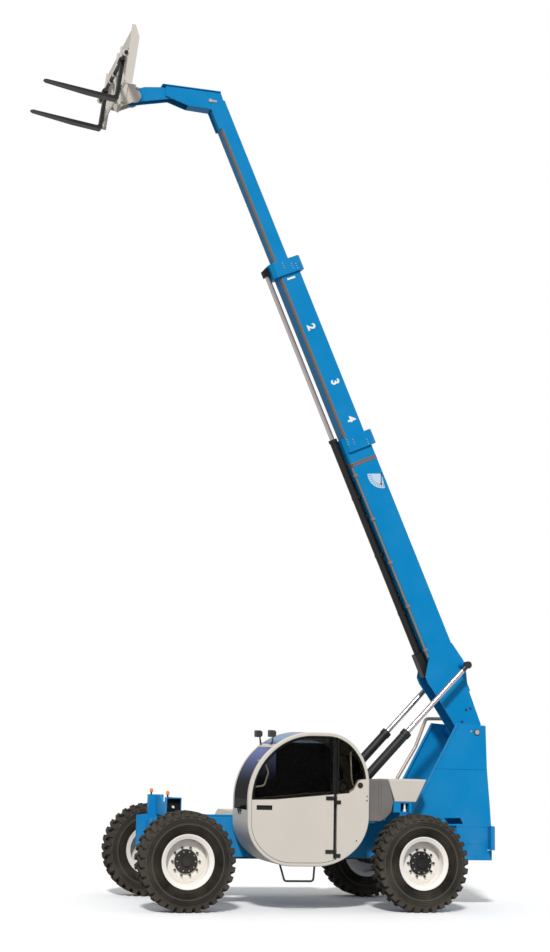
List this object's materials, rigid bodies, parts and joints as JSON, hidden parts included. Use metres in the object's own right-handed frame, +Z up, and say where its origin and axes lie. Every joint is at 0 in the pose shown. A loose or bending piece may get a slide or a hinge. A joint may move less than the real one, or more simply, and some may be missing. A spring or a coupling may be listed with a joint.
{
  "type": "telehandler",
  "caption": "Rough-terrain telehandler with side cab, telescopic boom with gooseneck, tilting fork carriage and steered wheels.",
  "frame": {"origin": "on the ground, on the centre plane, midway between the axles", "axes": "+X forward, +Y left (the cab side), +Z up"},
  "size_m": [6.9923, 2.4569, 12.1422],
  "materials": {
    "blue_paint": "gloss enamel",
    "grey_paint": "satin enamel",
    "wheel_paint": "satin enamel",
    "tyre_rubber": "matt, dusty",
    "black_steel": "semi-gloss",
    "chrome_rod": "polished",
    "exhaust_steel": "dull",
    "cast_engine": "rough",
    "tank_plastic": "moulded",
    "seat_vinyl": "vinyl",
    "dark_plastic": "grained",
    "amber_lens": "clear amber",
    "glass_tint": "lightly tinted"
  },
  "bodies": {
    "chassis": {"frame_rails": "blue_paint", "cross_members": "blue_paint", "side_brackets": "blue_paint", "lift_foot": "blue_paint", "rear_tower": "blue_paint", "counterweight": "blue_paint", "front_yoke": "blue_paint", "marker_lamps": "amber_lens", "front_axle": "black_steel", "rear_axle": "black_steel", "engine_block": "cast_engine", "engine_pod": "blue_paint", "exhaust": "exhaust_steel", "fuel_tank": "tank_plastic", "side_cover": "grey_paint", "cab_shell": "grey_paint", "cab_quarter": "grey_paint", "seat": "seat_vinyl", "cab_controls": "dark_plastic", "cab_step": "black_steel", "driveline": "black_steel", "cab_glass": "glass_tint", "roof_lamps": "dark_plastic"},
    "hood": {"engine_hood": "grey_paint"},
    "door": {"cab_door": "grey_paint", "door_glass": "glass_tint"},
    "outer_boom": {"outer_boom": "blue_paint", "tele_barrel": "black_steel", "boom_lines": "black_steel"},
    "mid_boom": {"mid_boom": "blue_paint", "tele_rod": "chrome_rod"},
    "fly_boom": {"fly_boom": "blue_paint"},
    "lift_barrels": {"lift_barrel": "black_steel"},
    "lift_rods": {"lift_rod": "chrome_rod"},
    "tilt_barrel": {"tilt_barrel": "black_steel"},
    "tilt_rod": {"tilt_rod": "chrome_rod"},
    "carriage": {"coupler": "grey_paint", "carriage": "grey_paint", "fork_shaft": "black_steel", "fork_left": "black_steel", "fork_right": "black_steel"},
    "knuckle_front_left": {"knuckle_front_left": "black_steel"},
    "wheel_front_left": {"tyre_front_left": "tyre_rubber", "rim_front_left": "wheel_paint"},
    "knuckle_front_right": {"knuckle_front_right": "black_steel"},
    "wheel_front_right": {"tyre_front_right": "tyre_rubber", "rim_front_right": "wheel_paint"},
    "knuckle_rear_left": {"knuckle_rear_left": "black_steel"},
    "wheel_rear_left": {"tyre_rear_left": "tyre_rubber", "rim_rear_left": "wheel_paint"},
    "knuckle_rear_right": {"knuckle_rear_right": "black_steel"},
    "wheel_rear_right": {"tyre_rear_right": "tyre_rubber", "rim_rear_right": "wheel_paint"}
  },
  "joints": [
    {"name": "steer_front_left", "type": "hinge", "parent": "chassis", "child": "knuckle_front_left", "pos_m": [1.64, 0.8, 0.6425], "axis": [0, 0, 1], "range_deg": [-32, 32]},
    {"name": "spin_front_left", "type": "hinge", "parent": "knuckle_front_left", "child": "wheel_front_left", "pos_m": [1.64, 1.0475, 0.6425], "axis": [0, 1, 0], "continuous": true},
    {"name": "steer_front_right", "type": "hinge", "parent": "chassis", "child": "knuckle_front_right", "pos_m": [1.64, -0.8, 0.6425], "axis": [0, 0, 1], "range_deg": [-32, 32]},
    {"name": "spin_front_right", "type": "hinge", "parent": "knuckle_front_right", "child": "wheel_front_right", "pos_m": [1.64, -1.0475, 0.6425], "axis": [0, 1, 0], "continuous": true},
    {"name": "steer_rear_left", "type": "hinge", "parent": "chassis", "child": "knuckle_rear_left", "pos_m": [-1.64, 0.8, 0.6425], "axis": [0, 0, 1], "range_deg": [-32, 32]},
    {"name": "spin_rear_left", "type": "hinge", "parent": "knuckle_rear_left", "child": "wheel_rear_left", "pos_m": [-1.64, 1.0475, 0.6425], "axis": [0, 1, 0], "continuous": true},
    {"name": "steer_rear_right", "type": "hinge", "parent": "chassis", "child": "knuckle_rear_right", "pos_m": [-1.64, -0.8, 0.6425], "axis": [0, 0, 1], "range_deg": [-32, 32]},
    {"name": "spin_rear_right", "type": "hinge", "parent": "knuckle_rear_right", "child": "wheel_rear_right", "pos_m": [-1.64, -1.0475, 0.6425], "axis": [0, 1, 0], "continuous": true},
    {"name": "boom_lift", "type": "hinge", "parent": "chassis", "child": "outer_boom", "pos_m": [-2.75, 0, 2.42], "axis": [0, -1, 0], "range_deg": [-74, 6]},
    {"name": "mid_slide", "type": "slide", "parent": "outer_boom", "child": "mid_boom", "axis": [0.4067, 0, 0.9135], "range_m": [-2.1, 0.5]},
    {"name": "fly_slide", "type": "slide", "parent": "mid_boom", "child": "fly_boom", "axis": [0.4067, 0, 0.9135], "range_m": [-2.1, 0.5]},
    {"name": "carriage_tilt", "type": "hinge", "parent": "fly_boom", "child": "carriage", "pos_m": [2.48, 0, 11.42], "axis": [0, 1, 0], "range_deg": [-72, 40]},
    {"name": "lift_barrel_hinge", "type": "hinge", "parent": "chassis", "child": "lift_barrels", "pos_m": [-0.6, 0, 1.2], "axis": [0, -1, 0], "range_deg": [-2.84, 0.69]},
    {"name": "lift_rod_slide", "type": "slide", "parent": "lift_barrels", "child": "lift_rods", "axis": [-0.688, 0, 0.7257], "range_m": [-1.1437, 0.0946]},
    {"name": "tilt_barrel_hinge", "type": "hinge", "parent": "fly_boom", "child": "tilt_barrel", "pos_m": [1.33, 0, 11.5], "axis": [0, 1, 0], "range_deg": [-3.5, 5.9]},
    {"name": "tilt_rod_slide", "type": "slide", "parent": "tilt_barrel", "child": "tilt_rod", "axis": [0.9976, 0, 0.069], "range_m": [-0.1604, 0.09]},
    {"name": "door_hinge", "type": "hinge", "parent": "chassis", "child": "door", "pos_m": [-0.367, 1.222, 1.458], "axis": [0, 0, 1], "range_deg": [0, 95]},
    {"name": "hood_hinge", "type": "hinge", "parent": "chassis", "child": "hood", "pos_m": [-0.862, -0.8, 1.0025], "axis": [0, -1, 0], "range_deg": [0, 55]}
  ],
  "couplings": [
    {"joint": "steer_front_right", "follows": "steer_front_left", "ratio": 1},
    {"joint": "steer_rear_right", "follows": "steer_rear_left", "ratio": 1},
    {"joint": "fly_slide", "follows": "mid_slide", "ratio": 1},
    {"joint": "lift_barrel_hinge", "follows": "boom_lift", "ratio": 0.03164},
    {"joint": "lift_rod_slide", "follows": "boom_lift", "m_per_rad": 0.88395},
    {"joint": "tilt_barrel_hinge", "follows": "carriage_tilt", "ratio": -0.07505},
    {"joint": "tilt_rod_slide", "follows": "carriage_tilt", "m_per_rad": 0.12603}
  ]
}
